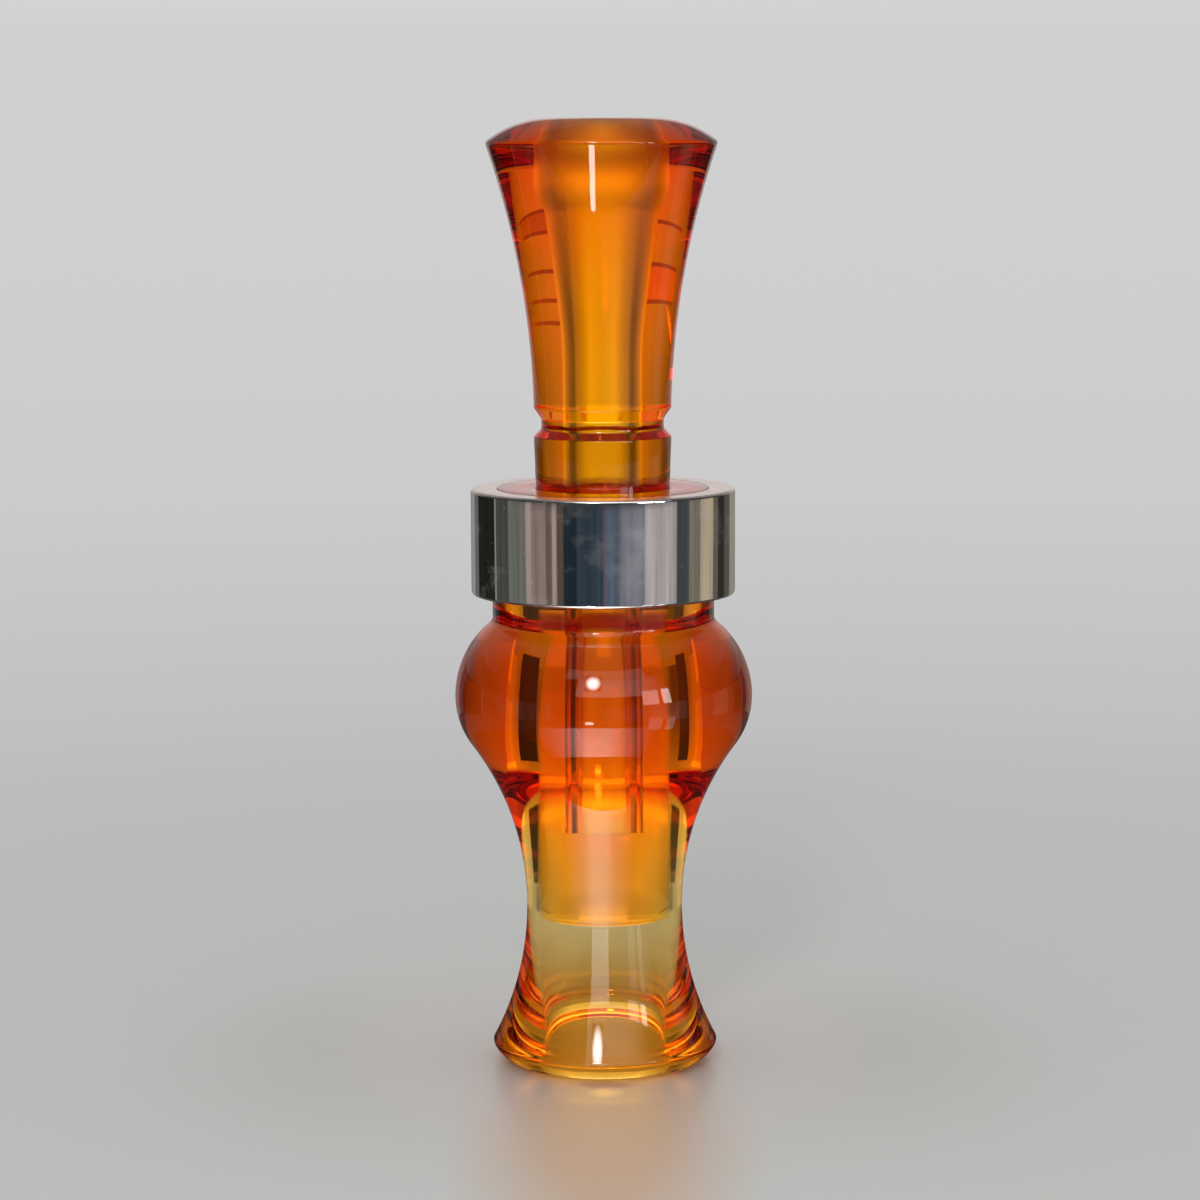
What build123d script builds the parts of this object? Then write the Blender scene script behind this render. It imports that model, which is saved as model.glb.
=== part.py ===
from build123d import *
from math import cos, radians, sin, sqrt
import os

# A turned duck call in five pieces: barrel, band, insert with its toneboard, reed and cork wedge.
# Millimetres. Z runs up the axis from the mouth end, which the call stands on, and the
# toneboard's flat faces +Y.

# Fits
fit_clearance = 0.06  # radial play of the insert's tenon in the bore
glue_line = 0.05  # glue between the band and its seat
film_gap = 0.03  # on each face of the reed
wedge_clearance = 0.1  # between the cork's round side and the bore

# Barrel, outward from its bore and up from the mouth end
barrel_length = 70.2
bore_diameter = 15.9
mouth_lip_radius = 0.8
mouth_land_width = 1.45
mouth_edge_width = 3.5
mouth_edge_height = 2.4
mouth_edge_round = 0.3
waist_wall = 1.49
waist_height = 19.3
bulb_diameter = 35.9
bulb_underside_radius = 9.5
shoulder_length = 9.2
neck_length = 3.3
neck_foot_round = 0.5
band_stop_step = 0.63

# Band
band_outer_diameter = 31.75
band_wall = 3.15
band_width = 12.7
band_edge_round = 0.4
band_inner_chamfer = 0.25

# Insert above the barrel: tapered collar, lanyard groove, bell and crown
collar_length = 6.2
seat_taper_depth = 4.0
seat_taper_rise = 0.38
groove_depth = 0.9
groove_floor_width = 1.25
groove_lower_run = 0.95
groove_upper_run = 1.3
bell_length = 31.5
bell_rim_diameter = 27.8
bell_foot_angle = 1.2
bell_rim_round = 0.5
crown_height = 2.8
crown_land_width = 0.7

# Exhaust and tone bore, outward from the drilled hole
tone_bore_diameter = 6.4
throat_flare = 1.3
throat_length = 16.0
counterbore_step = 0.95
counterbore_depth = 9.9
counterbore_foot_height = 3.5
counterbore_lip = 0.3

# Toneboard, measured down from the barrel's end
board_length = 52.1
channel_end_land = 12.0
flat_offset = 1.0
lay_length = 27.0
lay_drop = 1.2
notch_depth = 2.5
tip_chamfer = 0.35

# Reed and cork wedge
reed_thickness = 0.3
reed_side_margin = 1.3
reed_tip_setback = 0.5
reed_corner_cut = 2.5
wedge_length = 12.0
wedge_slope_run = 3.0

# Radii and heights that follow from the sizes above
bore_r = bore_diameter / 2
mouth_land_r = bore_r + mouth_lip_radius + mouth_land_width
mouth_rim_r = mouth_land_r + mouth_edge_width
waist_r = bore_r + waist_wall
bulb_r = bulb_diameter / 2
band_outer_r = band_outer_diameter / 2
band_inner_r = band_outer_r - band_wall
seat_r = band_inner_r - glue_line
neck_r = band_inner_r + band_stop_step
band_z = barrel_length - band_width
neck_z = band_z - glue_line - neck_length
bulb_z = neck_z - shoulder_length

tenon_r = bore_r - fit_clearance
collar_r = tenon_r + seat_taper_rise
seat_rise_at_end = seat_taper_rise * seat_taper_depth / (seat_taper_depth + collar_length)
taper_z = barrel_length - seat_taper_depth
groove_r = collar_r - groove_depth
groove_foot_z = barrel_length + collar_length
groove_floor_z = groove_foot_z + groove_lower_run
groove_top_z = groove_floor_z + groove_floor_width
bell_foot_z = groove_top_z + groove_upper_run
bell_rim_z = bell_foot_z + bell_length
bell_rim_r = bell_rim_diameter / 2
top_z = bell_rim_z + crown_height

tone_r = tone_bore_diameter / 2
throat_r = tone_r + throat_flare
counterbore_r = throat_r + counterbore_step
crown_land_r = counterbore_r + crown_land_width
counterbore_z = top_z - counterbore_depth
throat_foot_z = counterbore_z - throat_length
tip_z = barrel_length - board_length
channel_end_z = tip_z + channel_end_land
notch_z = barrel_length - notch_depth
lay_z = tip_z + lay_length

reed_y = flat_offset + film_gap
wedge_y = reed_y + reed_thickness + film_gap
reed_half_width = sqrt(tenon_r**2 - flat_offset**2) - reed_side_margin
reed_tip_z = tip_z + reed_tip_setback
clamp_z = notch_z - film_gap
wedge_front_z = clamp_z - wedge_length

SAME = 1e-4  # two lengths closer than this are the same edge


def rings(part, radius, height):
    """Circular edges of a turned part with this radius at this height."""
    circles = part.edges().filter_by(GeomType.CIRCLE)
    level = circles.filter_by(lambda edge: abs(edge.arc_center.Z - height) < SAME)
    return level.filter_by(lambda edge: abs(edge.radius - radius) < SAME)


def waist_join():
    """Point where the waist's hollow arc runs into the bulb's rounded underside, in line with both."""
    swell = bulb_r - waist_r
    rise = bulb_z - waist_height
    radii_sum = (swell**2 + rise**2) / (2 * swell)
    hollow_radius = radii_sum - bulb_underside_radius
    share = hollow_radius / radii_sum
    hollow_centre = (waist_r + hollow_radius, waist_height)
    bulb_centre = (bulb_r - bulb_underside_radius, bulb_z)
    return tuple(a + (b - a) * share for a, b in zip(hollow_centre, bulb_centre))


os.makedirs("parts", exist_ok=True)

# Barrel: flared mouth end, slim waist, round bulb, neck and band seat around one straight bore
mouth_rim = (mouth_rim_r, mouth_edge_height)
waist = (waist_r, waist_height)
bulb = (bulb_r, bulb_z)
with BuildPart() as barrel:
    with BuildSketch(Plane.XZ):
        with BuildLine():
            TangentArc((bore_r, mouth_lip_radius), (bore_r + mouth_lip_radius, 0), tangent=(0, -1))
            Line((bore_r + mouth_lip_radius, 0), (mouth_land_r, 0))
            TangentArc((mouth_land_r, 0), mouth_rim, tangent=(1, 0))
            TangentArc(waist, mouth_rim, tangent=(0, -1))
            TangentArc(waist, waist_join(), tangent=(0, 1))
            TangentArc(bulb, waist_join(), tangent=(0, -1))
            TangentArc(bulb, (neck_r, neck_z), tangent=(0, 1))
            Polyline(
                (neck_r, neck_z),
                (neck_r, band_z - glue_line),
                (seat_r, band_z - glue_line),
                (seat_r, barrel_length),
                (bore_r + seat_rise_at_end, barrel_length),
                (bore_r, taper_z),
                (bore_r, mouth_lip_radius),
            )
        make_face()
    revolve(axis=Axis.Z)
    fillet(rings(barrel, mouth_rim_r, mouth_edge_height), mouth_edge_round)
    fillet(rings(barrel, neck_r, neck_z), neck_foot_round)
barrel.part.label = "barrel"
export_step(barrel.part, "parts/barrel.step")

# Band: a plain ring with softened outer edges, flush with the barrel's end
with BuildPart() as band:
    with BuildSketch(Plane.XY.offset(band_z)):
        Circle(band_outer_r)
        Circle(band_inner_r, mode=Mode.SUBTRACT)
    extrude(amount=band_width)
    for end_z in (band_z, barrel_length):
        fillet(rings(band, band_outer_r, end_z), band_edge_round)
        chamfer(rings(band, band_inner_r, end_z), band_inner_chamfer)
band.part.label = "band"
export_step(band.part, "parts/band.step")

# Insert: turned and drilled in one piece, then cut flat on one side for the toneboard
bell_foot = (collar_r, bell_foot_z)
bell_rim = (bell_rim_r, bell_rim_z)
bell_start = (sin(radians(bell_foot_angle)), cos(radians(bell_foot_angle)))
with BuildPart() as insert:
    with BuildSketch(Plane.XZ):
        with BuildLine():
            Polyline(
                (0, channel_end_z),
                (0, tip_z),
                (tenon_r, tip_z),
                (tenon_r, taper_z),
                (collar_r, groove_foot_z),
                (groove_r, groove_floor_z),
                (groove_r, groove_top_z),
                bell_foot,
            )
            TangentArc(bell_foot, bell_rim, tangent=bell_start)
            TangentArc((crown_land_r, top_z), bell_rim, tangent=(1, 0))
            Polyline(
                (crown_land_r, top_z),
                (counterbore_r, top_z),
                (counterbore_r, counterbore_z + counterbore_foot_height),
            )
            TangentArc(
                (counterbore_r, counterbore_z + counterbore_foot_height),
                (throat_r, counterbore_z),
                tangent=(0, -1),
            )
            Polyline(
                (throat_r, counterbore_z),
                (tone_r, throat_foot_z),
                (tone_r, channel_end_z),
                (0, channel_end_z),
            )
        make_face()
    revolve(axis=Axis.Z)
    fillet(rings(insert, counterbore_r, top_z), counterbore_lip)
    fillet(rings(insert, bell_rim_r, bell_rim_z), bell_rim_round)
    chamfer(rings(insert, tenon_r, tip_z), tip_chamfer)

    # the flat that the reed lies on, its lay curving away to the tip, and the notch that stops the wedge
    with BuildSketch(Plane.YZ):
        with BuildLine():
            TangentArc((flat_offset, lay_z), (flat_offset - lay_drop, tip_z), tangent=(0, -1))
            Polyline(
                (flat_offset - lay_drop, tip_z),
                (collar_r, tip_z),
                (collar_r, notch_z),
                (flat_offset, notch_z),
                (flat_offset, lay_z),
            )
        make_face()
    extrude(amount=collar_r, both=True, mode=Mode.SUBTRACT)
insert.part.label = "insert"
export_step(insert.part, "parts/insert.step")

# Reed: a strip of film with its tip corners cut off
with BuildPart() as reed:
    with BuildSketch(Plane.XZ.offset(-reed_y)):
        with BuildLine():
            Polyline(
                (-reed_half_width, clamp_z),
                (-reed_half_width, reed_tip_z + reed_corner_cut),
                (reed_corner_cut - reed_half_width, reed_tip_z),
                (reed_half_width - reed_corner_cut, reed_tip_z),
                (reed_half_width, reed_tip_z + reed_corner_cut),
                (reed_half_width, clamp_z),
                close=True,
            )
        make_face()
    extrude(amount=-reed_thickness)
reed.part.label = "reed"
export_step(reed.part, "parts/reed.step")

# Wedge: a half-round cork that clamps the reed in the notch, with its front end cut on a slope
wedge_r = bore_r - wedge_clearance
with BuildPart() as wedge:
    with BuildSketch(Plane.XY.offset(wedge_front_z)):
        Circle(wedge_r)
        with Locations((0, wedge_y)):
            Rectangle(
                2 * wedge_r, wedge_r, align=(Align.CENTER, Align.MIN), mode=Mode.INTERSECT
            )
    extrude(amount=wedge_length)
    with BuildSketch(Plane.YZ):
        with BuildLine():
            Polyline(
                (wedge_y, wedge_front_z),
                (wedge_r, wedge_front_z),
                (wedge_r, wedge_front_z + wedge_slope_run),
                close=True,
            )
        make_face()
    extrude(amount=wedge_r, both=True, mode=Mode.SUBTRACT)
wedge.part.label = "wedge"
export_step(wedge.part, "parts/wedge.step")
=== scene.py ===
"""Looks of a turned amber duck call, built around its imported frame."""

from math import atan2, cos, hypot, pi, radians, sin, sqrt

import bmesh
import bpy
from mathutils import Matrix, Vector, noise


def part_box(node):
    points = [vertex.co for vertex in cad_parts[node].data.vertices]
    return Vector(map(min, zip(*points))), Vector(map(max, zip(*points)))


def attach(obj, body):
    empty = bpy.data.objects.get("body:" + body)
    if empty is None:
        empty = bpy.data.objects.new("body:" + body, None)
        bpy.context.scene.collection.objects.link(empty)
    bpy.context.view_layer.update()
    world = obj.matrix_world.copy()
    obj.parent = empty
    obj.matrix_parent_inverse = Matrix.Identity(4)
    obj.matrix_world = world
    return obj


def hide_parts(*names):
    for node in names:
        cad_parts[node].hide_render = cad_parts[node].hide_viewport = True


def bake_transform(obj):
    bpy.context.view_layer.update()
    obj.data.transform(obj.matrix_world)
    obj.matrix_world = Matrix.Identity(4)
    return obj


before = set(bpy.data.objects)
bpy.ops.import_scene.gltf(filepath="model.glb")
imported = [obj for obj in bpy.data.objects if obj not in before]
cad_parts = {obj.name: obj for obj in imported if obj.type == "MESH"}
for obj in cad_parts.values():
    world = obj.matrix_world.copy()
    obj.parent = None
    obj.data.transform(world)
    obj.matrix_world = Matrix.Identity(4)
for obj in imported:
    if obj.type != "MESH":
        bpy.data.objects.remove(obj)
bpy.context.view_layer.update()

MM = 0.001  # outlines are in millimetres, as (radius, height) pairs; the scene is in metres
SEGMENTS = 192  # facets round a turned piece
ON_AXIS = 1e-6  # a radius or a gap below this counts as none
CREASE = radians(28)  # edges sharper than this stay sharp
UP = (0, 1)  # headings in the plane of an outline
DOWN = (0, -1)
OUT = (1, 0)


def box_mm(node):
    """Lowest and highest corner of a CAD node, in millimetres."""
    low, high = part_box(node)
    return low / MM, high / MM


# Sizes read from the frame
barrel_high = box_mm("barrel")[1]
band_low, band_high = box_mm("band")
insert_low, insert_high = box_mm("insert")
reed_low, reed_high = box_mm("reed")
wedge_low, wedge_high = box_mm("wedge")
barrel_length = barrel_high.z
bulb_r = barrel_high.x
band_r = band_high.x
tip_z = insert_low.z
top_z = insert_high.z

# Sizes of the barrel's outline
bore_r = 7.95
mouth_lip = 0.8
mouth_land_r = 10.2
mouth_rim = (13.7, 2.4)
waist = (9.44, 19.3)
bulb_underside_radius = 9.5
neck_r = 13.355
neck_z = 54.15
shoulder_length = 9.2
band_inner_r = 12.725
seat_r = 12.675
seat_z = 57.45
socket_r = 8.099
taper_z = 66.2
bulb = (bulb_r, neck_z - shoulder_length)

# Sizes of the insert's outline
tenon_r = 7.89
collar_r = 8.27
groove_r = 7.37
groove_heights = (76.4, 77.35, 78.6)
bell_foot = (8.27, 79.9)
bell_foot_angle = radians(1.2)
bell_rim = (13.9, 111.4)
crown_land_r = 6.15
counterbore_r = 5.45
counterbore_foot_z = 107.8
counterbore_z = 104.3
throat_r = 4.5
throat_foot_z = 88.3
tone_r = 3.2
channel_end_z = 30.1
flat_y = 1.0
lay_z = 45.1
lay_drop = 1.2
notch_z = 67.7


# Outlines


def tangent_arc(start, end, heading, steps):
    """Points of the arc that leaves start along heading and runs to end, both ends included."""
    along = Vector(heading).normalized()
    across = Vector((-along.y, along.x))
    chord = Vector(end) - Vector(start)
    centre = Vector(start) + across * chord.length_squared / (2 * chord.dot(across))
    sweep = 2 * atan2(chord.dot(across), chord.dot(along))
    spoke = Vector(start) - centre
    points = []
    for step in range(steps + 1):
        turn = sweep * step / steps
        x = centre.x + spoke.x * cos(turn) - spoke.y * sin(turn)
        z = centre.y + spoke.x * sin(turn) + spoke.y * cos(turn)
        points.append((x, z))
    return points


def join(*runs):
    """One outline from runs of points, without the points that two runs share."""
    path = []
    for run in runs:
        for point in run:
            if not path or hypot(point[0] - path[-1][0], point[1] - path[-1][1]) > ON_AXIS:
                path.append(tuple(point))
    return path


def walk(points, reach):
    """The point this far along the path, and the points beyond it."""
    for index in range(len(points) - 1):
        here = Vector(points[index])
        there = Vector(points[index + 1])
        span = (there - here).length
        if span > reach:
            return here.lerp(there, reach / span), points[index + 1:]
        reach -= span
    raise ValueError("the corner's reach is longer than the path")


def soften(path, corner, reach, steps=7):
    """The path with its corner rounded, from this far before it to this far after it."""
    gaps = [hypot(radius - corner[0], height - corner[1]) for radius, height in path]
    index = gaps.index(min(gaps))
    start, before = walk(path[index::-1], reach)
    end, after = walk(path[index:], reach)
    middle = Vector(path[index])
    curve = []
    for step in range(steps + 1):
        share = step / steps
        point = start.lerp(middle, share).lerp(middle.lerp(end, share), share)
        curve.append(tuple(point))
    return before[::-1] + curve + after


def waist_join():
    """Point where the waist's hollow arc runs into the bulb's underside."""
    swell = bulb[0] - waist[0]
    rise = bulb[1] - waist[1]
    radii_sum = (swell**2 + rise**2) / (2 * swell)
    share = (radii_sum - bulb_underside_radius) / radii_sum
    hollow_centre = Vector((waist[0] + radii_sum - bulb_underside_radius, waist[1]))
    bulb_centre = Vector((bulb[0] - bulb_underside_radius, bulb[1]))
    return tuple(hollow_centre.lerp(bulb_centre, share))


def barrel_outline():
    """Closed outline of the barrel, up its outside and down its bore."""
    meeting = waist_join()
    path = join(
        tangent_arc((bore_r, mouth_lip), (bore_r + mouth_lip, 0), DOWN, steps=8),
        tangent_arc((mouth_land_r, 0), mouth_rim, OUT, steps=14),
        tangent_arc(waist, mouth_rim, DOWN, steps=40)[::-1],
        tangent_arc(waist, meeting, UP, steps=48),
        tangent_arc(bulb, meeting, DOWN, steps=26)[::-1],
        tangent_arc(bulb, (neck_r, neck_z), UP, steps=34),
        [
            (neck_r, seat_z),
            (seat_r, seat_z),
            (seat_r, barrel_length),
            (socket_r, barrel_length),
            (bore_r, taper_z),
        ],
    )
    path = soften(path, mouth_rim, reach=0.35)
    path = soften(path, (neck_r, neck_z), reach=0.5)
    path = soften(path, (seat_r, barrel_length), reach=0.15, steps=3)
    return soften(path, (socket_r, barrel_length), reach=0.2, steps=3)


def band_outline():
    """Closed outline of the band."""
    bore_run = 1.0
    path = [
        (band_inner_r, band_low.z + bore_run),
        (band_inner_r, band_low.z),
        (band_r, band_low.z),
        (band_r, band_high.z),
        (band_inner_r, band_high.z),
        (band_inner_r, band_high.z - bore_run),
    ]
    for height in (band_low.z, band_high.z):
        path = soften(path, (band_r, height), reach=0.4, steps=8)
        path = soften(path, (band_inner_r, height), reach=0.25, steps=3)
    return path


def insert_outline():
    """Outline of the insert from the toneboard's tip, over the bell and down the tone bore."""
    heading = (sin(bell_foot_angle), cos(bell_foot_angle))
    path = join(
        [
            (0, tip_z),
            (tenon_r, tip_z),
            (tenon_r, taper_z),
            (collar_r, groove_heights[0]),
            (groove_r, groove_heights[1]),
            (groove_r, groove_heights[2]),
        ],
        tangent_arc(bell_foot, bell_rim, heading, steps=70),
        tangent_arc((crown_land_r, top_z), bell_rim, OUT, steps=24)[::-1],
        [(counterbore_r, top_z)],
        tangent_arc((counterbore_r, counterbore_foot_z), (throat_r, counterbore_z), DOWN, steps=10),
        [
            (tone_r, throat_foot_z),
            (tone_r, channel_end_z),
            (0, channel_end_z),
        ],
    )
    path = soften(path, (tenon_r, tip_z), reach=0.35, steps=3)
    path = soften(path, (collar_r, groove_heights[0]), reach=0.15, steps=3)
    path = soften(path, (groove_r, groove_heights[1]), reach=0.2, steps=4)
    path = soften(path, (groove_r, groove_heights[2]), reach=0.2, steps=4)
    path = soften(path, bell_foot, reach=0.2, steps=4)
    path = soften(path, bell_rim, reach=0.42)
    path = soften(path, (counterbore_r, top_z), reach=0.35)
    path = soften(path, (throat_r, counterbore_z), reach=0.5, steps=5)
    return soften(path, (tone_r, throat_foot_z), reach=3.0, steps=6)


# Meshes


def smooth(piece, crease):
    """Smooth shading, except at edges sharper than crease."""
    piece.data.shade_smooth()
    piece.data.set_sharp_from_angle(angle=crease)


def finish_mesh(name, bm, crease=CREASE):
    """An object of a bmesh, smooth except at edges sharper than crease."""
    bmesh.ops.recalc_face_normals(bm, faces=bm.faces)
    mesh = bpy.data.meshes.new(name)
    bm.to_mesh(mesh)
    bm.free()
    piece = bpy.data.objects.new(name, mesh)
    bpy.context.scene.collection.objects.link(piece)
    smooth(piece, crease)
    return piece


def skin(bm, rings):
    """Faces between each ring of vertices and the next; a ring of one vertex closes to a point."""
    for lower, upper in rings:
        count = max(len(lower), len(upper))
        for index in range(count):
            after = index + 1
            corners = [
                lower[index % len(lower)],
                lower[after % len(lower)],
                upper[after % len(upper)],
                upper[index % len(upper)],
            ]
            corners = list(dict.fromkeys(corners))
            if len(corners) > 2:
                bm.faces.new(corners)


def lathe(name, path, closed):
    """A piece turned about the axis from its outline."""
    bm = bmesh.new()
    rings = []
    for radius, height in path:
        count = SEGMENTS if radius > ON_AXIS else 1
        ring = []
        for step in range(count):
            angle = 2 * pi * step / SEGMENTS
            spot = Vector((radius * cos(angle), radius * sin(angle), height))
            ring.append(bm.verts.new(spot * MM))
        rings.append(ring)
    following = rings[1:] + rings[:1] if closed else rings[1:]
    skin(bm, zip(rings, following))
    return finish_mesh(name, bm)


def cut_toneboard(piece):
    """Cuts the flat, its lay and the notch into the turned insert."""
    overshoot = 1.0
    far = collar_r + overshoot
    low = tip_z - overshoot
    outline = join(
        tangent_arc((flat_y, lay_z), (flat_y - lay_drop, tip_z), DOWN, steps=30),
        [(flat_y - lay_drop, low), (far, low), (far, notch_z), (flat_y, notch_z)],
    )
    bm = bmesh.new()
    sides = []
    for x in (-far, far):
        sides.append([bm.verts.new(Vector((x, y, z)) * MM) for y, z in outline])
    skin(bm, [sides])
    for side in sides:
        bm.faces.new(side)
    cutter = finish_mesh("board_cutter", bm)
    cut = piece.modifiers.new("toneboard", "BOOLEAN")
    cut.operation = "DIFFERENCE"
    cut.solver = "EXACT"
    cut.object = cutter
    bpy.context.view_layer.update()
    shaped = piece.evaluated_get(bpy.context.evaluated_depsgraph_get())
    mesh = bpy.data.meshes.new_from_object(shaped)
    piece.modifiers.clear()
    piece.data = mesh
    bpy.data.objects.remove(cutter)
    smooth(piece, CREASE)


def reed_strip():
    """The reed: a strip of film with its tip corners cut off, in rows along which it bends."""
    rows = 72
    corner_cut = 2.5
    edge = 0.06
    crease = radians(35)
    half = reed_high.x
    bm = bmesh.new()
    rings = []
    heights = [reed_low.z + (reed_high.z - reed_low.z) * row / rows for row in range(rows + 1)]
    for height in heights:
        width = half - max(0, corner_cut - (height - reed_low.z))
        section = [
            (edge - width, reed_low.y),
            (width - edge, reed_low.y),
            (width, reed_low.y + edge),
            (width, reed_high.y - edge),
            (width - edge, reed_high.y),
            (edge - width, reed_high.y),
            (-width, reed_high.y - edge),
            (-width, reed_low.y + edge),
        ]
        rings.append([bm.verts.new(Vector((x, y, height)) * MM) for x, y in section])
    skin(bm, zip(rings, rings[1:]))
    bm.faces.new(rings[0])
    bm.faces.new(rings[-1])
    return finish_mesh("reed_film_strip", bm, crease)


def cork_wedge():
    """The half-round cork, with a sloped front, softened rims and a slightly uneven skin."""
    rows = 26
    arc_steps = 44
    flat_steps = 22
    slope_run = 3.0
    rim_inset = 0.96
    unevenness = 0.09
    dent_scale = 1.7
    crease = radians(40)
    radius = wedge_high.y
    base = wedge_low.y
    half = sqrt(radius**2 - base**2)
    sweep_start = atan2(base, half)
    section = []
    for step in range(arc_steps):
        angle = sweep_start + (pi - 2 * sweep_start) * step / arc_steps
        section.append(Vector((radius * cos(angle), radius * sin(angle))))
    for step in range(flat_steps):
        section.append(Vector((half * (2 * step / flat_steps - 1), base)))
    middle = Vector((0, (base + radius) / 2))
    bm = bmesh.new()
    rings = []
    for row in range(rows + 1):
        share = row / rows
        inset = rim_inset if row in (0, rows) else 1.0
        ring = []
        for point in section:
            spot = middle.lerp(point, inset)
            front = wedge_low.z + slope_run * (spot.y - base) / (radius - base)
            height = front + (wedge_high.z - front) * share
            swell = noise.noise(Vector((spot.x, spot.y, height)) * dent_scale)
            dent = unevenness * (0.5 + 0.5 * swell)
            spot = spot + (middle - spot).normalized() * dent
            ring.append(bm.verts.new(Vector((spot.x, max(spot.y, base), height)) * MM))
        rings.append(ring)
    skin(bm, zip(rings, rings[1:]))
    bm.faces.new(rings[0])
    bm.faces.new(rings[-1])
    return finish_mesh("cork_wedge", bm, crease)


# Materials


def add(tree, kind, values=None, **settings):
    """A shader node with its settings, and its inputs by name or number; an output is linked."""
    shader = tree.nodes.new(kind)
    for key, value in settings.items():
        setattr(shader, key, value)
    for key, value in (values or {}).items():
        if isinstance(value, bpy.types.NodeSocket):
            tree.links.new(value, shader.inputs[key])
        else:
            shader.inputs[key].default_value = value
    return shader


def new_material(name):
    """A material with only its output, and its node tree."""
    material = bpy.data.materials.new(name)
    material.use_nodes = True
    tree = material.node_tree
    tree.nodes.clear()
    return material, tree, tree.nodes.new("ShaderNodeOutputMaterial")


def ramp(tree, value, low, high, to_low, to_high):
    """The value mapped from low..high to to_low..to_high, and held beyond them."""
    mapped = add(
        tree,
        "ShaderNodeMapRange",
        {0: value, 1: low, 2: high, 3: to_low, 4: to_high},
        clamp=True,
    )
    return mapped.outputs[0]


def stretched_noise(tree, place, scale, detail, roughness=0.5):
    """Noise at its own scale along each axis."""
    mapped = add(tree, "ShaderNodeMapping", {"Vector": place, "Scale": scale})
    grain = add(
        tree,
        "ShaderNodeTexNoise",
        {"Vector": mapped.outputs[0], "Scale": 1.0, "Detail": detail, "Roughness": roughness},
    )
    return grain.outputs["Fac"]


def reach_from(tree, place, centre, spread):
    """Distance from a centre, in metres times the spread along each axis."""
    moved = add(tree, "ShaderNodeVectorMath", {0: place, 1: centre}, operation="SUBTRACT").outputs[0]
    scaled = add(tree, "ShaderNodeVectorMath", {0: moved, 1: spread}, operation="MULTIPLY").outputs[0]
    return add(tree, "ShaderNodeVectorMath", {0: scaled}, operation="LENGTH").outputs["Value"]


def axis_radius(tree, place):
    """Distance from the call's axis, in metres."""
    return reach_from(tree, place, (0, 0, 0), (1, 1, 0))


def combine(tree, operation, first, second):
    """Two values joined by a sum, product or the like."""
    return add(tree, "ShaderNodeMath", {0: first, 1: second}, operation=operation).outputs[0]


def mix(tree, share, first, second):
    """The first colour, giving way to the second as share rises."""
    return add(tree, "ShaderNodeMix", {0: share, 6: first, 7: second}, data_type="RGBA").outputs[2]


def amber_acrylic(name, bore_limit, bore_haze, absorbed, density):
    """Cast amber acrylic, polished outside and duller inside bore_limit, where it is bored or cut.

    bore_haze holds two (height, roughness) pairs; the bore's roughness runs from one to the other.
    """
    bore_blend = 0.0002
    material, tree, output = new_material(name)
    place = add(tree, "ShaderNodeTexCoord").outputs["Object"]
    inside = ramp(tree, axis_radius(tree, place), bore_limit, bore_limit + bore_blend, 1.0, 0.0)
    clouds = stretched_noise(tree, place, (70, 70, 45), 3.0)
    haze = stretched_noise(tree, place, (420, 420, 420), 4.0)
    tint = mix(tree, clouds, (1.0, 0.985, 0.95, 1), (1.0, 1.0, 1.0, 1))
    polish = ramp(tree, haze, 0.35, 0.75, 0.01, 0.03)
    (low_z, low_haze), (high_z, high_haze) = bore_haze
    rise = add(tree, "ShaderNodeSeparateXYZ", {0: place}).outputs[2]
    bored = combine(tree, "MULTIPLY", inside, ramp(tree, rise, low_z, high_z, low_haze, high_haze))
    surface = add(
        tree,
        "ShaderNodeBsdfPrincipled",
        {
            "Base Color": tint,
            "Roughness": combine(tree, "ADD", polish, bored),
            "IOR": 1.49,
            "Transmission Weight": 1.0,
        },
    )
    depth = add(tree, "ShaderNodeVolumeAbsorption", {"Color": (*absorbed, 1), "Density": density})
    tree.links.new(surface.outputs[0], output.inputs["Surface"])
    tree.links.new(depth.outputs[0], output.inputs["Volume"])
    return material


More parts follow.
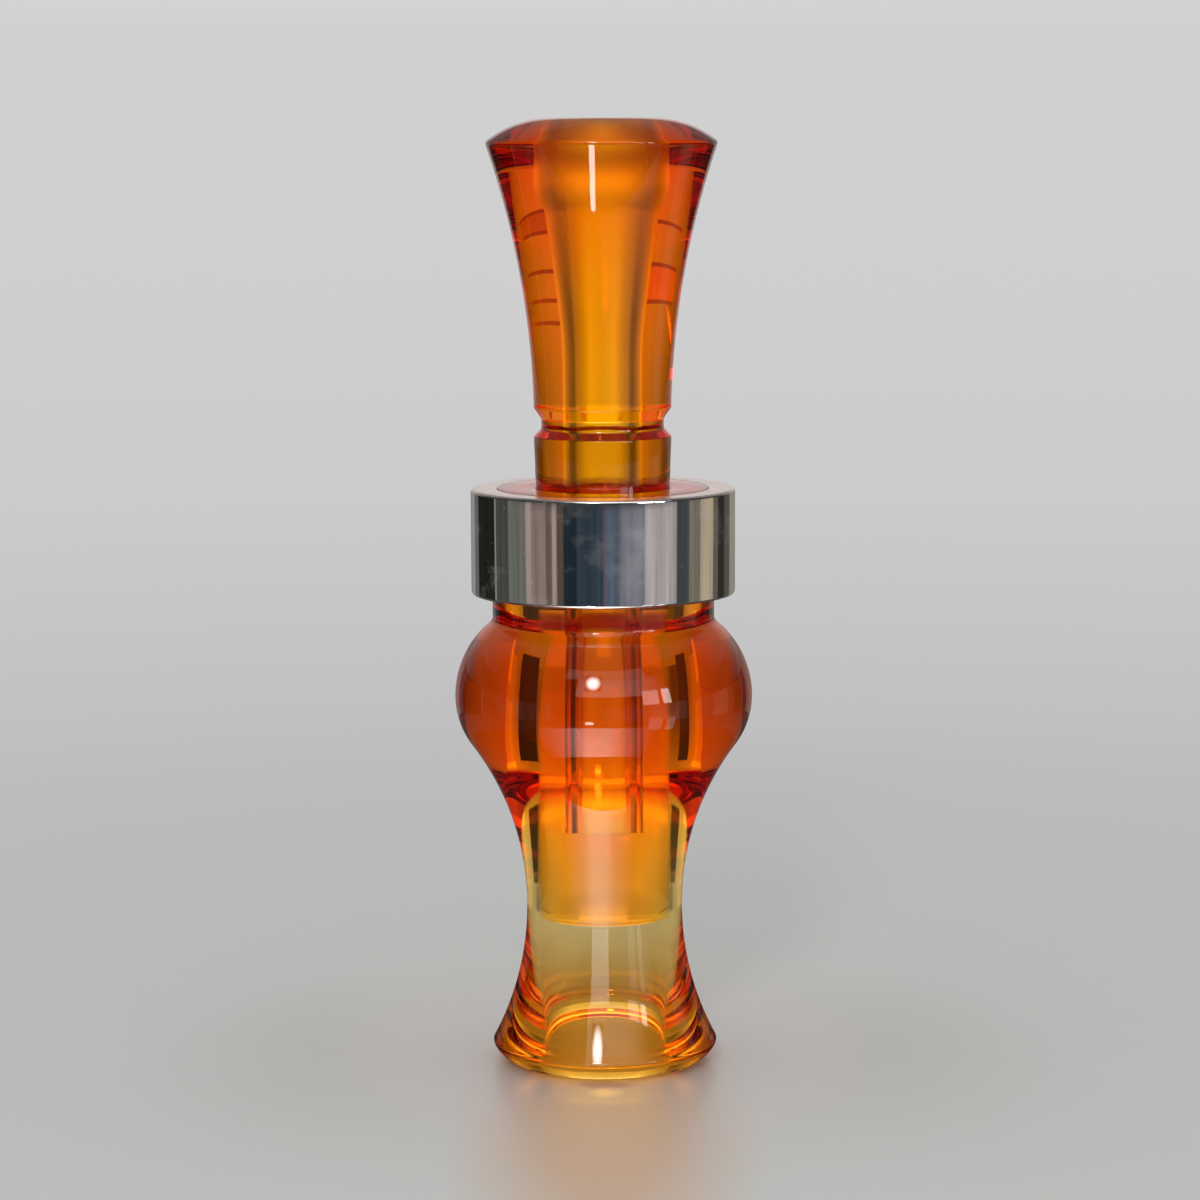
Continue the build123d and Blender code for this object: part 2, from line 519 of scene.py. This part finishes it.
def polished_aluminium():
    """Bright turned aluminium with fine turning lines, a few handling smudges and a thumb mark."""
    thumb_centre = (0.0027, -0.0157, 0.0615)
    material, tree, output = new_material("polished_aluminium")
    place = add(tree, "ShaderNodeTexCoord").outputs["Object"]
    lines = stretched_noise(tree, place, (60, 60, 14000), 3.0, 0.65)
    normal = add(tree, "ShaderNodeNewGeometry").outputs["True Normal"]
    level = add(tree, "ShaderNodeVectorMath", {0: normal, 1: (0, 0, 1)}, operation="DOT_PRODUCT")
    facing = add(tree, "ShaderNodeMath", {0: level.outputs["Value"]}, operation="ABSOLUTE").outputs[0]
    thumb = ramp(tree, reach_from(tree, place, thumb_centre, (1, 1, 1)), 0.001, 0.006, 0.16, 0.0)
    smudges = combine(tree, "ADD", stretched_noise(tree, place, (170, 170, 230), 4.0, 0.6), thumb)
    scratches = stretched_noise(tree, place, (900, 900, 5200), 2.0, 0.7)
    specks = ramp(tree, stretched_noise(tree, place, (2200, 2200, 1500), 1.0), 0.7, 0.78, 0.0, 1.0)
    colour = mix(tree, smudges, (0.86, 0.86, 0.865, 1), (0.91, 0.905, 0.90, 1))
    rubbed = ramp(tree, smudges, 0.5, 0.75, 0.045, 0.12)
    scored = ramp(tree, scratches, 0.66, 0.8, 0.0, 0.08)
    flat_ends = ramp(tree, facing, 0.1, 0.3, 0.0, 0.2)
    roughness = combine(tree, "ADD", combine(tree, "ADD", rubbed, scored), flat_ends)
    dirt = combine(tree, "MAXIMUM", smudges, specks)
    bump = add(tree, "ShaderNodeBump", {"Strength": 0.1, "Distance": 0.00001, "Height": lines})
    surface = add(
        tree,
        "ShaderNodeBsdfPrincipled",
        {
            "Base Color": colour,
            "Metallic": ramp(tree, dirt, 0.58, 0.85, 1.0, 0.86),
            "Roughness": roughness,
            "Normal": bump.outputs[0],
        },
    )
    tree.links.new(surface.outputs[0], output.inputs["Surface"])
    return material


def reed_film():
    """Milky polyester film, lightly sanded."""
    material, tree, output = new_material("reed_film")
    place = add(tree, "ShaderNodeTexCoord").outputs["Object"]
    sanding = stretched_noise(tree, place, (7000, 7000, 500), 3.0, 0.6)
    clouds = stretched_noise(tree, place, (200, 200, 120), 3.0)
    colour = mix(tree, clouds, (0.96, 0.955, 0.93, 1), (0.99, 0.99, 0.98, 1))
    bump = add(tree, "ShaderNodeBump", {"Strength": 0.05, "Distance": 0.00001, "Height": sanding})
    surface = add(
        tree,
        "ShaderNodeBsdfPrincipled",
        {
            "Base Color": colour,
            "Roughness": ramp(tree, sanding, 0.3, 0.7, 0.12, 0.2),
            "IOR": 1.5,
            "Transmission Weight": 0.95,
            "Normal": bump.outputs[0],
        },
    )
    tree.links.new(surface.outputs[0], output.inputs["Surface"])
    return material


def cork():
    """Granular cork: pale and dark grains, with small dark pores."""
    material, tree, output = new_material("cork")
    place = add(tree, "ShaderNodeTexCoord").outputs["Object"]
    grains = add(tree, "ShaderNodeTexVoronoi", {"Vector": place, "Scale": 900.0, "Randomness": 1.0})
    shade = add(tree, "ShaderNodeSeparateColor", {0: grains.outputs["Color"]}).outputs[0]
    speckle = stretched_noise(tree, place, (2600, 2600, 2600), 4.0, 0.65)
    pores = stretched_noise(tree, place, (1500, 700, 1500), 2.0)
    grained = mix(tree, shade, (0.32, 0.17, 0.07, 1), (0.60, 0.39, 0.20, 1))
    pale_share = ramp(tree, speckle, 0.4, 0.7, 0.0, 0.55)
    speckled = mix(tree, pale_share, grained, (0.66, 0.46, 0.26, 1))
    pore_share = ramp(tree, pores, 0.64, 0.7, 0.0, 0.85)
    pitted = mix(tree, pore_share, speckled, (0.10, 0.05, 0.025, 1))
    height = combine(tree, "SUBTRACT", speckle, ramp(tree, pores, 0.62, 0.7, 0.0, 1.0))
    bump = add(tree, "ShaderNodeBump", {"Strength": 0.6, "Distance": 0.0001, "Height": height})
    surface = add(
        tree,
        "ShaderNodeBsdfPrincipled",
        {"Base Color": pitted, "Roughness": 0.85, "Normal": bump.outputs[0]},
    )
    tree.links.new(surface.outputs[0], output.inputs["Surface"])
    return material


def dress(piece, material, body, node):
    """Gives a piece its finish, and its place in the frame; a piece that bends has no one body."""
    piece.data.materials.clear()
    piece.data.materials.append(material)
    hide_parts(node)
    if body:
        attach(piece, body)


# Pieces

barrel = lathe("turned_barrel", barrel_outline(), closed=True)
barrel_acrylic = amber_acrylic(
    "amber_acrylic_barrel",
    bore_limit=0.0082,
    bore_haze=[(0.0, 0.03), (0.07, 0.03)],
    absorbed=(0.975, 0.78, 0.15),
    density=400.0,
)
dress(barrel, barrel_acrylic, "barrel", "barrel")

band = lathe("turned_band", band_outline(), closed=True)
dress(band, polished_aluminium(), "barrel", "band")

insert = lathe("turned_insert", insert_outline(), closed=False)
cut_toneboard(insert)
insert_acrylic = amber_acrylic(
    "amber_acrylic_insert",
    bore_limit=0.0062,
    bore_haze=[(0.088, 0.08), (0.104, 0.42)],
    absorbed=(0.986, 0.846, 0.0),
    density=700.0,
)
dress(insert, insert_acrylic, "insert", "insert")

wedge = cork_wedge()
dress(wedge, cork(), "insert", "wedge")

reed = reed_strip()
dress(reed, reed_film(), None, "reed")
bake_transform(reed)

# Stage: floor, world, cards, lamps and camera. Azimuths are in degrees from the camera's side
# of the call, positive to its right; an edge of a sheet is a (distance, height) pair in metres.


def bearing(azimuth, distance, height):
    """A place round the call."""
    turn = radians(azimuth)
    return Vector((distance * sin(turn), -distance * cos(turn), height))


def upright(distance, low, high):
    """Edges of a sheet that stands at this distance from the axis."""
    return [(distance, low), (distance, high)]


def lying(height, near, far):
    """Edges of a sheet that lies at this height."""
    return [(near, height), (far, height)]


def grey(level):
    """A colour without a tint."""
    return (level, level, level)


def rectangle(width, height):
    """Corners of a flat rectangle about its middle."""
    x = width / 2
    y = height / 2
    return [(-x, -y, 0), (x, -y, 0), (x, y, 0), (-x, y, 0)]


def stage_piece(name, points, faces, material):
    """An object that belongs to the stage and not to the call."""
    mesh = bpy.data.meshes.new(name)
    mesh.from_pydata([tuple(point) for point in points], [], faces)
    mesh.materials.append(material)
    piece = bpy.data.objects.new(name, mesh)
    bpy.context.scene.collection.objects.link(piece)
    return piece


def greys(tree, value, low, high, levels):
    """Greys for a value from low to high, by stops of (value, level)."""
    shades = add(tree, "ShaderNodeValToRGB", {0: ramp(tree, value, low, high, 0.0, 1.0)})
    stops = shades.color_ramp.elements
    while len(stops) < len(levels):
        stops.new(0.5)
    for stop, (spot, level) in zip(stops, levels):
        stop.position = (spot - low) / (high - low)
        stop.color = (*grey(level), 1)
    return shades.outputs[0]


def pale_floor():
    """A satin floor that fades into the backdrop, with painted light: a warm painted caustic patch
    where light through the call would fall, and a painted glint that mirrors the highlight on the
    call's mouth.
    """
    half = 3.0
    plain_colour = (0.485, 0.495, 0.485, 1)
    # Painted caustic light: the warm colour of light through the amber, painted into the floor
    painted_caustic_colour = (0.50, 0.36, 0.265, 1)
    # Painted reflection: the colour of the mouth's highlight as mirrored in the floor, painted on
    painted_glint_colour = (0.82, 0.56, 0.30, 1)
    painted_caustic_centre = (0.0, -0.035, 0.0)
    painted_caustic_spread = (55.0, 14.0, 0.0)
    painted_glint_centre = (0.0, -0.0165, 0.0)
    painted_glint_spread = (420.0, 330.0, 0.0)
    dull_from = 0.025
    dull_to = 0.06
    fade_from = 0.10
    fade_to = 0.26
    levels = [(0.15, 0.50), (0.28, 0.533), (0.43, 0.565), (0.67, 0.597), (1.5, 0.62), (3.0, 0.625)]
    material, tree, output = new_material("pale_floor")
    place = add(tree, "ShaderNodeTexCoord").outputs["Object"]
    reach = axis_radius(tree, place)
    # Painted caustic light: an oval warm patch in front of the call, where light through the amber
    # would fall
    painted_caustic_share = ramp(tree, reach_from(tree, place, painted_caustic_centre, painted_caustic_spread), 0.3, 1.0, 1.0, 0.0)
    # Painted reflection: a small bright spot that stands in for the floor mirroring the highlight on
    # the call's mouth
    painted_glint_share = ramp(tree, reach_from(tree, place, painted_glint_centre, painted_glint_spread), 0.2, 1.0, 1.0, 0.0)
    with_painted_caustic = mix(tree, painted_caustic_share, plain_colour, painted_caustic_colour)
    colour = mix(tree, painted_glint_share, with_painted_caustic, painted_glint_colour)
    satin = add(tree, "ShaderNodeBsdfPrincipled", {"Base Color": colour, "Roughness": 0.35, "IOR": 2.0})
    matte = add(tree, "ShaderNodeBsdfDiffuse", {"Color": colour})
    dull = ramp(tree, reach, dull_from, dull_to, 0.0, 1.0)
    table = add(tree, "ShaderNodeMixShader", {0: dull, 1: satin.outputs[0], 2: matte.outputs[0]})
    glow = add(tree, "ShaderNodeEmission", {"Color": greys(tree, reach, 0.0, half, levels)})
    fade = ramp(tree, reach, fade_from, fade_to, 0.0, 1.0)
    mixed = add(tree, "ShaderNodeMixShader", {0: fade, 1: table.outputs[0], 2: glow.outputs[0]})
    tree.links.new(mixed.outputs[0], output.inputs["Surface"])
    piece = stage_piece("floor", rectangle(2 * half, 2 * half), [(0, 1, 2, 3)], material)
    piece.visible_glossy = False


def pale_world():
    """A pale backdrop, brightest just above eye level and overhead."""
    levels = [
        (-0.1, 0.62),
        (0.03, 0.63),
        (0.14, 0.90),
        (0.24, 0.62),
        (0.34, 0.50),
        (0.5, 0.9),
        (1.0, 1.1),
    ]
    world = bpy.data.worlds.new("studio")
    bpy.context.scene.world = world
    world.use_nodes = True
    tree = world.node_tree
    ray = add(tree, "ShaderNodeTexCoord").outputs["Generated"]
    rise = add(tree, "ShaderNodeSeparateXYZ", {0: ray}).outputs[2]
    tree.links.new(greys(tree, rise, -1.0, 1.0, levels), tree.nodes["Background"].inputs["Color"])


def glow_material(name, colour, strength, streaked):
    """A glow of one colour, or with upright streaks of it."""
    material, tree, output = new_material(name)
    material.cycles.emission_sampling = "NONE"
    glow = add(tree, "ShaderNodeEmission", {"Color": (*colour, 1), "Strength": strength})
    if streaked:
        place = add(tree, "ShaderNodeTexCoord").outputs["Object"]
        streaks = stretched_noise(tree, place, (75, 75, 9), 4.0, 0.65)
        uneven = ramp(tree, streaks, 0.3, 0.7, 0.7 * strength, 1.3 * strength)
        tree.links.new(uneven, glow.inputs["Strength"])
    tree.links.new(glow.outputs[0], output.inputs["Surface"])
    return material


def swept_glow(name, levels, middle=0.0, lift=0.0, colour=(1.0, 1.0, 1.0), strength=1.0):
    """A glow by stops of (azimuth from its middle, level), alike on both sides.

    It gains lift towards the ceiling.
    """
    lift_from = 0.06
    lift_to = 0.42
    material, tree, output = new_material(name)
    material.cycles.emission_sampling = "NONE"
    place = add(tree, "ShaderNodeTexCoord").outputs["Object"]
    x, y, z = add(tree, "ShaderNodeSeparateXYZ", {0: place}).outputs
    turn = combine(tree, "ARCTAN2", x, combine(tree, "MULTIPLY", y, -1.0))
    off_middle = combine(tree, "SUBTRACT", turn, radians(middle))
    aside = add(tree, "ShaderNodeMath", {0: off_middle}, operation="ABSOLUTE").outputs[0]
    stops = [(radians(azimuth), level) for azimuth, level in levels]
    base = add(tree, "ShaderNodeRGBToBW", {0: greys(tree, aside, 0.0, pi, stops)}).outputs[0]
    raised = combine(tree, "ADD", base, ramp(tree, z, lift_from, lift_to, 0.0, lift))
    level = combine(tree, "MULTIPLY", raised, strength)
    glow = add(tree, "ShaderNodeEmission", {"Color": (*colour, 1), "Strength": level})
    tree.links.new(glow.outputs[0], output.inputs["Surface"])
    return material


def sheet(name, azimuths, edges, material, through=False, fall=0.0):
    """A sheet swept round the call between two edges, which sinks by fall on the way.

    It is seen only in reflections, or only through the acrylic.
    """
    least_steps = 6
    degrees_per_step = 5
    start, end = azimuths
    steps = least_steps + int(abs(end - start) / degrees_per_step)
    points = []
    for step in range(steps + 1):
        share = step / steps
        azimuth = start + (end - start) * share
        points += [bearing(azimuth, reach, height - fall * share) for reach, height in edges]
    faces = [(2 * step, 2 * step + 2, 2 * step + 3, 2 * step + 1) for step in range(steps)]
    piece = stage_piece(name, points, faces, material)
    piece.visible_camera = False
    piece.visible_diffuse = False
    piece.visible_shadow = False
    piece.visible_glossy = not through
    piece.visible_transmission = through


def card(name, azimuths, edges, colour, strength=1.0, through=False, streaked=False, fall=0.0):
    """A sheet that glows in one colour."""
    sheet(name, azimuths, edges, glow_material(name, colour, strength, streaked), through, fall)


def lamp_panel(name, place, target, width, height, radiance):
    """A lamp with a soft-edged oval glow."""
    material, tree, output = new_material(name)
    spot = add(tree, "ShaderNodeTexCoord").outputs["Object"]
    reach = reach_from(tree, spot, (0, 0, 0), (2 / width, 2 / height, 0))
    glow = add(tree, "ShaderNodeEmission", {"Strength": ramp(tree, reach, 0.2, 1.0, radiance, 0.0)})
    tree.links.new(glow.outputs[0], output.inputs["Surface"])
    piece = stage_piece(name, rectangle(width, height), [(0, 1, 2, 3)], material)
    piece.location = place
    piece.rotation_euler = (Vector(target) - Vector(place)).to_track_quat("Z", "Y").to_euler()
    piece.visible_camera = False


def photo_camera():
    """The photograph's view: level with the bell, looking down a little, with a slight roll."""
    distance = 0.419
    height = 0.11136
    pitch = radians(7.455)
    roll = radians(0.24)
    aside = -0.00017
    focal_pixels = 3500
    frame_pixels = 1200
    lens = bpy.data.cameras.new("photo")
    lens.sensor_width = 36.0
    lens.lens = lens.sensor_width * focal_pixels / frame_pixels
    lens.clip_start = 0.01
    holder = bpy.data.objects.new("photo", lens)
    holder.location = (aside, -distance, height)
    holder.rotation_euler = (pi / 2 - pitch, roll, 0)
    bpy.context.scene.collection.objects.link(holder)
    bpy.context.scene.camera = holder


pale_floor()
pale_world()

# The dim room that the polished surfaces mirror
all_round = (-180, 180)
back_half = (100, 260)
room_r = 0.8
room_top = 0.95
back_split = 0.33
table_z = -0.0005
table_middle_z = -0.0004
ring_r = 0.19
back_tint = (1.0, 0.87, 0.84)
back_strength = 0.76
back_levels = [
    (0, 0.05),
    (100, 0.05),
    (122, 0.08),
    (134, 0.25),
    (144, 0.42),
    (156, 0.6),
    (168, 0.8),
    (180, 1.0),
]
back_top_levels = [(0, 0.05), (100, 0.1), (132, 0.4), (180, 0.3)]
back_glow = swept_glow("room_back", back_levels, colour=back_tint, strength=back_strength)
back_top_glow = swept_glow("room_back_top", back_top_levels, colour=back_tint, strength=back_strength)
card("room_front", (-100, 100), upright(room_r, 0.0, room_top), grey(0.04))
sheet("room_back", back_half, upright(room_r, 0.0, back_split), back_glow)
sheet("room_back_top", back_half, upright(room_r, back_split, room_top), back_top_glow)
card("room_ceiling", all_round, lying(room_top, 0.0, room_r), grey(0.15))
card("room_table", all_round, lying(table_z, 0.0, room_r), (0.03, 0.028, 0.025))
card("room_table_middle", all_round, lying(table_middle_z, 0.1, ring_r), (0.09, 0.085, 0.08))

# The streaks of the room on the band
ring_edges = upright(ring_r, 0.001, 0.062)
ring_cards = [
    ("ring_left_rim", (-166, -146), (0.26, 0.25, 0.24)),
    ("ring_left_shade", (-146, -135), (0.14, 0.13, 0.125)),
    ("ring_left_dark", (-135, -105), (0.015, 0.016, 0.014)),
    ("ring_left_line", (-105, -103), (0.28, 0.27, 0.24)),
    ("ring_left_grey", (-103, -87), (0.06, 0.06, 0.055)),
    ("ring_left_pale", (-87, -68), (0.14, 0.14, 0.125)),
    ("ring_rose_line", (-68, -63), (0.36, 0.29, 0.25)),
    ("ring_rose", (-63, -49), (0.24, 0.17, 0.155)),
    ("ring_rose_dim", (-49, -43), (0.12, 0.08, 0.07)),
    ("ring_tan_line", (-43, -39), (0.34, 0.26, 0.21)),
    ("ring_brown", (-39, -33), (0.085, 0.065, 0.05)),
    ("ring_navy_deep", (-33, -22), (0.014, 0.023, 0.031)),
    ("ring_navy", (-22, 0), (0.032, 0.046, 0.062)),
    ("ring_violet_line", (0, 3), (0.12, 0.095, 0.14)),
    ("ring_slate", (3, 14), (0.09, 0.115, 0.155)),
    ("ring_slate_pale", (14, 35), (0.18, 0.175, 0.205)),
    ("ring_window", (35, 64), (0.40, 0.36, 0.35)),
    ("ring_green", (64, 77), (0.05, 0.06, 0.06)),
    ("ring_warm_dim", (77, 90), (0.19, 0.165, 0.13)),
    ("ring_warm", (90, 107), (0.46, 0.375, 0.27)),
    ("ring_warm_edge", (107, 115), (0.12, 0.10, 0.08)),
    ("ring_right_dark", (115, 127), (0.03, 0.027, 0.023)),
    ("ring_right_shade", (127, 140), (0.085, 0.077, 0.062)),
    ("ring_right_rim", (140, 166), (0.26, 0.24, 0.2)),
]
for name, azimuths, colour in ring_cards:
    card(name, azimuths, ring_edges, colour, streaked=True)

# Bright things that the polished surfaces mirror: shine on the table, window panes and the key lamp
shine_z = -0.0002
streak_z = -0.0001
pane_r = 0.75
halo_r = 0.77
pane_edges = upright(pane_r, 0.07, 0.33)
low_pane_edges = upright(0.1, 0.002, 0.03)
wide_pane_colour = (1.0, 0.95, 0.9)
narrow_pane_colour = (1.0, 0.97, 0.94)
shine_levels = [(0, 1.0), (9, 1.0), (17, 0.55), (26, 0.3), (38, 0.1), (46, 0.0), (180, 0.0)]
shine = swept_glow("table_shine", shine_levels, middle=-7.0, colour=(1.0, 0.9, 0.82), strength=4.5)
sheet("table_shine", (-55, 41), lying(shine_z, 0.032, 0.12), shine)
card("front_glint", (-17, 5), upright(0.06, 0.010, 0.026), (1.0, 0.95, 0.9), strength=3.5)
card("table_streak", (-13.5, -7.5), lying(streak_z, 0.152, 0.192), (1.0, 0.98, 0.94), strength=14.0)
card("wall_glow", (-35, 38), upright(pane_r, 0.59, 0.85), (1.0, 0.92, 0.85))
card("pane_wide", (30, 43), pane_edges, wide_pane_colour, strength=4.0)
card("pane_narrow", (46, 53), pane_edges, narrow_pane_colour, strength=8.0)
card("pane_wide_foot", (32, 42), low_pane_edges, wide_pane_colour, strength=1.2)
card("pane_narrow_foot", (46, 52), low_pane_edges, narrow_pane_colour, strength=1.6)
halo_levels = [(0, 1.0), (34, 0.9), (46, 0.5), (60, 0.0), (180, 0.0)]
halo = swept_glow("key_halo", halo_levels, middle=-8.0, colour=(1.0, 0.93, 0.88), strength=1.6)
sheet("key_halo", (-22, 52), upright(halo_r, 0.26, 0.6), halo)
key_place = bearing(-9, 0.64, 0.44)
lamp_panel("key", key_place, target=(0, 0, 0.05), width=0.16, height=0.24, radiance=32.0)

# What shows only through the acrylic: the room with its pale back wall and table, the key lamp,
# a bright ceiling and dark flags
through_table_z = 0.0005
bounce_z = 0.0007
skylight_z = 0.5
top_r = 0.78
wall_levels = [
    (0, 0.56),
    (60, 0.62),
    (90, 0.62),
    (105, 0.2),
    (120, 0.2),
    (131, 0.34),
    (148, 0.55),
    (160, 0.74),
    (168, 1.05),
    (180, 0.88),
]
table_levels = [
    (0, 0.2),
    (60, 0.45),
    (90, 0.5),
    (105, 0.14),
    (128, 0.16),
    (137, 0.4),
    (146, 0.45),
    (159, 0.72),
    (180, 0.8),
]
wall_glow = swept_glow("wall", wall_levels, lift=0.4)
table_glow = swept_glow("table", table_levels)
sheet("wall", all_round, upright(room_r, 0.0, 0.8), wall_glow, through=True)
sheet("table", all_round, lying(through_table_z, 0.12, room_r), table_glow, through=True)
card("key_core", (-13, -5), upright(0.63, 0.39, 0.47), grey(1.0), strength=60.0, through=True)
card("front_top", (-60, 60), upright(top_r, 0.32, 0.78), grey(1.5), through=True)
card("skylight", all_round, lying(skylight_z, 0.0, 0.5), grey(1.95), through=True)
card("back_top", (160, 200), upright(top_r, 0.37, 0.5), grey(2.4), through=True)
card("table_bounce", (172, 187), lying(bounce_z, 0.1, 0.26), grey(1.2), through=True)
flag_edges = upright(0.06, 0.022, 0.062)
card("flag_left", (-134, -96), flag_edges, grey(0.05), through=True)
card("flag_right", (112, 134), flag_edges, grey(0.08), through=True)

# Bars and boxes of the room that show in the bell's sides, each with how far it slopes down
bar_r = 0.1
bar_height = 0.0013
bar_colour = (0.42, 0.22, 0.16)
bars = [
    ("bar_low", (131, 161), 0.1025, 0.005),
    ("bar_middle", (131, 161), 0.1099, 0.006),
    ("bar_high", (131, 160), 0.1197, 0.007),
    ("box_left_foot", (132, 158), 0.1332, 0.008),
    ("box_left_head", (132, 158), 0.1402, 0.008),
    ("box_right_foot", (-131, -161), 0.1095, 0.006),
    ("box_right_head", (-131, -161), 0.1215, 0.007),
    ("bar_right", (-132, -158), 0.1365, 0.008),
]
for name, azimuths, height, fall in bars:
    bar_edges = upright(bar_r, height, height + bar_height)
    card(name, azimuths, bar_edges, bar_colour, through=True, fall=fall)
box_r = 0.101
box_left_edges = upright(box_r, 0.1335, 0.1412)
box_right_edges = upright(box_r, 0.11, 0.1225)
card("box_left", (132, 158), box_left_edges, (0.66, 0.42, 0.3), through=True, fall=0.008)
card("box_right", (-131, -161), box_right_edges, (0.95, 0.48, 0.35), through=True, fall=0.0065)

photo_camera()
scene = bpy.context.scene
scene.view_settings.view_transform = "Standard"
scene.cycles.max_bounces = 32
scene.cycles.transmission_bounces = 32
scene.cycles.glossy_bounces = 12
